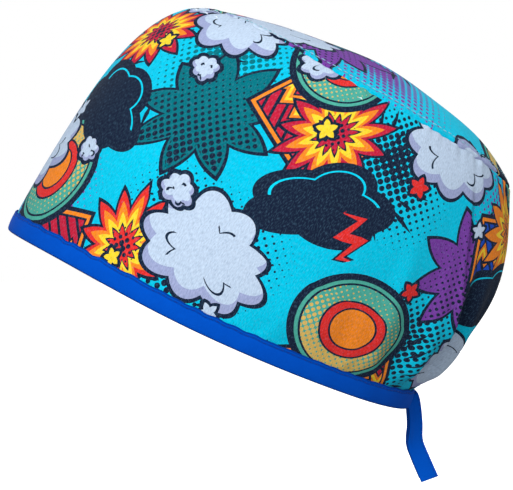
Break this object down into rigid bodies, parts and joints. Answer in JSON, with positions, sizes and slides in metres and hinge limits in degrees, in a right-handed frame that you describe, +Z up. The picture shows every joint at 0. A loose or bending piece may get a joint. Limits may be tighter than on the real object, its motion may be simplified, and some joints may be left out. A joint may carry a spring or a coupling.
{
  "type": "surgical scrub cap",
  "caption": "Tie-back cloth scrub cap as worn: oval crown sewn to a deep gathered side panel, tape-bound opening, back slit and short hanging ties.",
  "frame": {"origin": "middle of the head opening, where the cap sits on a head, midway between forehead and nape and between the sides", "axes": "+Z up as worn, -Y towards the forehead, +Y towards the nape and the ties, +X to the wearer's left. The opening is tilted 24.8 degrees, lower at the nape, as shown worn."},
  "size_m": [0.1664, 0.2419, 0.2283],
  "materials": {
    "printed_cotton": "woven cotton with a many-coloured comic-style print on turquoise, matt",
    "blue_tape": "royal blue folded binding tape, plain weave, slight sheen"
  },
  "bodies": {
    "root": {"crown_panel": "printed_cotton", "side_panel": "printed_cotton", "rim_binding": "blue_tape", "tie_left": "blue_tape", "tie_right": "blue_tape"}
  },
  "joints": []
}
